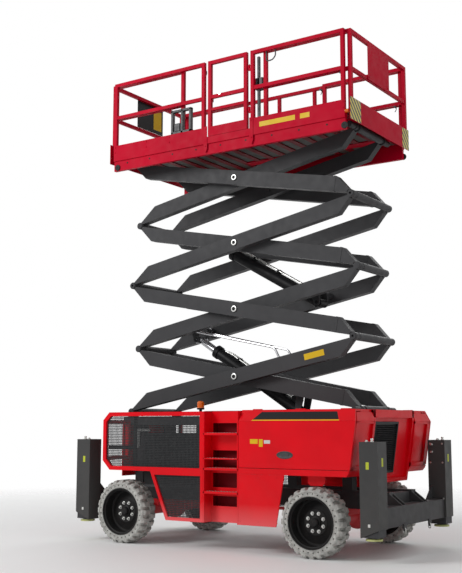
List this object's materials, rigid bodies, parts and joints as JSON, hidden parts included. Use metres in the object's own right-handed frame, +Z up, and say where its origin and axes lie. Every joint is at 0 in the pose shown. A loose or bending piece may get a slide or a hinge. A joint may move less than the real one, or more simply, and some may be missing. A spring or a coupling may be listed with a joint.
{
  "type": "rough-terrain scissor lift",
  "caption": "Wheeled scissor lift with outriggers: a folding arm pack raises a railed platform whose deck ends roll out.",
  "frame": {"origin": "on the ground at the centre of the bounding box", "axes": "+Z up, +X towards the steered front axle, -Y the side with the ladder and the platform gate"},
  "size_m": [4.724, 2.31, 6.698],
  "materials": {
    "red_paint": "gloss paint",
    "grey_paint": "satin paint",
    "black_paint": "satin paint",
    "mesh_metal": "matt paint",
    "steel": "bright",
    "tyre": "pale solid rubber",
    "amber": "translucent amber",
    "plastic": "textured"
  },
  "bodies": {
    "chassis": {"axle_front": "red_paint", "axle_rear": "red_paint", "beacon": "amber", "cage_frames": "red_paint", "chassis_frame": "grey_paint", "engine_block": "black_paint", "front_panel": "red_paint", "ladder": "red_paint", "leg_casings": "grey_paint", "mesh_panels": "mesh_metal", "outrigger_beams": "grey_paint", "pods": "red_paint", "rear_panel": "red_paint", "scissor_base": "grey_paint", "side_panel_far": "red_paint", "skirts": "red_paint", "tank_blocks": "black_paint"},
    "arm_a1": {"arm_a1": "grey_paint"},
    "arm_a2": {"arm_a2": "grey_paint"},
    "arm_a3": {"arm_a3": "grey_paint"},
    "arm_a4": {"arm_a4": "grey_paint"},
    "arm_b1": {"arm_b1": "grey_paint"},
    "arm_b2": {"arm_b2": "grey_paint"},
    "arm_b3": {"arm_b3": "grey_paint"},
    "arm_b4": {"arm_b4": "grey_paint"},
    "cover_far": {"cover_far": "red_paint"},
    "cover_near": {"cover_near": "red_paint"},
    "cylinder_high": {"cylinder_high": "black_paint"},
    "cylinder_low": {"cylinder_low": "black_paint"},
    "foot_front_far": {"foot_front_far": "grey_paint"},
    "foot_front_near": {"foot_front_near": "grey_paint"},
    "foot_rear_far": {"foot_rear_far": "grey_paint"},
    "foot_rear_near": {"foot_rear_near": "grey_paint"},
    "knuckle_far": {"knuckle_far": "red_paint"},
    "knuckle_near": {"knuckle_near": "red_paint"},
    "ram_high": {"ram_high": "steel"},
    "ram_low": {"ram_low": "steel"},
    "platform": {"platform_deck": "red_paint", "rails_near": "red_paint", "rails_far": "red_paint", "control_box": "plastic"},
    "gate": {"gate": "red_paint"},
    "extension_front": {"extension_front": "red_paint"},
    "extension_rear": {"extension_rear": "red_paint"},
    "wheel_front_near": {"rim_front_near": "black_paint", "tyre_front_near": "tyre"},
    "wheel_front_far": {"rim_front_far": "black_paint", "tyre_front_far": "tyre"},
    "wheel_rear_near": {"rim_rear_near": "black_paint", "tyre_rear_near": "tyre"},
    "wheel_rear_far": {"rim_rear_far": "black_paint", "tyre_rear_far": "tyre"}
  },
  "joints": [
    {"name": "lift", "type": "hinge", "parent": "chassis", "child": "arm_a1", "pos_m": [-1.845, 0, 1.8], "axis": [0, -1, 0], "range_deg": [-11, 48.5]},
    {"name": "fold_b1", "type": "hinge", "parent": "arm_a1", "child": "arm_b1", "pos_m": [-0.0325, 0, 2.265], "axis": [0, -1, 0], "range_deg": [-97.5, 22.5]},
    {"name": "fold_a2", "type": "hinge", "parent": "arm_b1", "child": "arm_a2", "pos_m": [-1.845, 0, 2.73], "axis": [0, -1, 0], "range_deg": [-22.5, 97.5]},
    {"name": "fold_b2", "type": "hinge", "parent": "arm_a2", "child": "arm_b2", "pos_m": [-0.0325, 0, 3.195], "axis": [0, -1, 0], "range_deg": [-97.5, 22.5]},
    {"name": "fold_a3", "type": "hinge", "parent": "arm_b2", "child": "arm_a3", "pos_m": [-1.845, 0, 3.66], "axis": [0, -1, 0], "range_deg": [-22.5, 97.5]},
    {"name": "fold_b3", "type": "hinge", "parent": "arm_a3", "child": "arm_b3", "pos_m": [-0.0325, 0, 4.125], "axis": [0, -1, 0], "range_deg": [-97.5, 22.5]},
    {"name": "fold_a4", "type": "hinge", "parent": "arm_b3", "child": "arm_a4", "pos_m": [-1.845, 0, 4.59], "axis": [0, -1, 0], "range_deg": [-22.5, 97.5]},
    {"name": "fold_b4", "type": "hinge", "parent": "arm_a4", "child": "arm_b4", "pos_m": [-0.0325, 0, 5.055], "axis": [0, -1, 0], "range_deg": [-97.5, 22.5]},
    {"name": "fold_platform", "type": "hinge", "parent": "arm_b4", "child": "platform", "pos_m": [-1.845, 0, 5.52], "axis": [0, -1, 0], "range_deg": [-11.5, 49]},
    {"name": "cylinder_low_swing", "type": "hinge", "parent": "arm_b1", "child": "cylinder_low", "pos_m": [0.68726, 0, 1.77031], "axis": [0, -1, 0], "range_deg": [-6.84, 1.94]},
    {"name": "ram_low_slide", "type": "slide", "parent": "cylinder_low", "child": "ram_low", "axis": [-0.8428, 0, 0.5383], "range_m": [-0.2634, 1.1511]},
    {"name": "cylinder_high_swing", "type": "hinge", "parent": "arm_a2", "child": "cylinder_high", "pos_m": [1.00536, 0, 3.26465], "axis": [0, -1, 0], "range_deg": [-96.8, 22.34]},
    {"name": "ram_high_slide", "type": "slide", "parent": "cylinder_high", "child": "ram_high", "axis": [-0.8679, 0, 0.4968], "range_m": [-0.2798, 1.2236]},
    {"name": "steer_near", "type": "hinge", "parent": "chassis", "child": "knuckle_near", "pos_m": [1.44, -0.79, 0.428], "axis": [0, 0, 1], "range_deg": [-28, 28]},
    {"name": "wheel_front_near_turn", "type": "hinge", "parent": "knuckle_near", "child": "wheel_front_near", "pos_m": [1.44, -1, 0.428], "axis": [0, 1, 0], "continuous": true},
    {"name": "wheel_rear_near_turn", "type": "hinge", "parent": "chassis", "child": "wheel_rear_near", "pos_m": [-1.56, -1, 0.428], "axis": [0, 1, 0], "continuous": true},
    {"name": "steer_far", "type": "hinge", "parent": "chassis", "child": "knuckle_far", "pos_m": [1.44, 0.79, 0.428], "axis": [0, 0, 1], "range_deg": [-28.5, 28.5]},
    {"name": "wheel_front_far_turn", "type": "hinge", "parent": "knuckle_far", "child": "wheel_front_far", "pos_m": [1.44, 1, 0.428], "axis": [0, 1, 0], "continuous": true},
    {"name": "wheel_rear_far_turn", "type": "hinge", "parent": "chassis", "child": "wheel_rear_far", "pos_m": [-1.56, 1, 0.428], "axis": [0, 1, 0], "continuous": true},
    {"name": "outrigger_front_near", "type": "slide", "parent": "chassis", "child": "foot_front_near", "axis": [0, 0, -1], "range_m": [0, 0.55]},
    {"name": "outrigger_front_far", "type": "slide", "parent": "chassis", "child": "foot_front_far", "axis": [0, 0, -1], "range_m": [0, 0.55]},
    {"name": "outrigger_rear_near", "type": "slide", "parent": "chassis", "child": "foot_rear_near", "axis": [0, 0, -1], "range_m": [0, 0.55]},
    {"name": "outrigger_rear_far", "type": "slide", "parent": "chassis", "child": "foot_rear_far", "axis": [0, 0, -1], "range_m": [0, 0.55]},
    {"name": "cover_near_open", "type": "hinge", "parent": "chassis", "child": "cover_near", "pos_m": [1.2, -0.925, 1.807], "axis": [-1, 0, 0], "range_deg": [0, 75]},
    {"name": "cover_far_open", "type": "hinge", "parent": "chassis", "child": "cover_far", "pos_m": [1.2, 0.925, 1.807], "axis": [1, 0, 0], "range_deg": [0, 75]},
    {"name": "gate_open", "type": "hinge", "parent": "platform", "child": "gate", "pos_m": [0.426, -0.893, 5.9], "axis": [0, 0, -1], "range_deg": [0, 90]},
    {"name": "extension_front_slide", "type": "slide", "parent": "platform", "child": "extension_front", "axis": [1, 0, 0], "range_m": [0, 1.2]},
    {"name": "extension_rear_slide", "type": "slide", "parent": "platform", "child": "extension_rear", "axis": [-1, 0, 0], "range_m": [0, 1.2]}
  ],
  "couplings": [
    {"joint": "fold_b1", "follows": "lift", "ratio": -2},
    {"joint": "fold_a2", "follows": "lift", "ratio": 2},
    {"joint": "fold_b2", "follows": "lift", "ratio": -2},
    {"joint": "fold_a3", "follows": "lift", "ratio": 2},
    {"joint": "fold_b3", "follows": "lift", "ratio": -2},
    {"joint": "fold_a4", "follows": "lift", "ratio": 2},
    {"joint": "fold_b4", "follows": "lift", "ratio": -2},
    {"joint": "fold_platform", "follows": "lift", "ratio": 1},
    {"joint": "cylinder_low_swing", "follows": "lift", "ratio": -0.1308},
    {"joint": "ram_low_slide", "follows": "lift", "m_per_rad": 1.3563},
    {"joint": "cylinder_high_swing", "follows": "lift", "ratio": -1.9855},
    {"joint": "ram_high_slide", "follows": "lift", "m_per_rad": 1.442},
    {"joint": "steer_far", "follows": "steer_near", "ratio": 1}
  ]
}
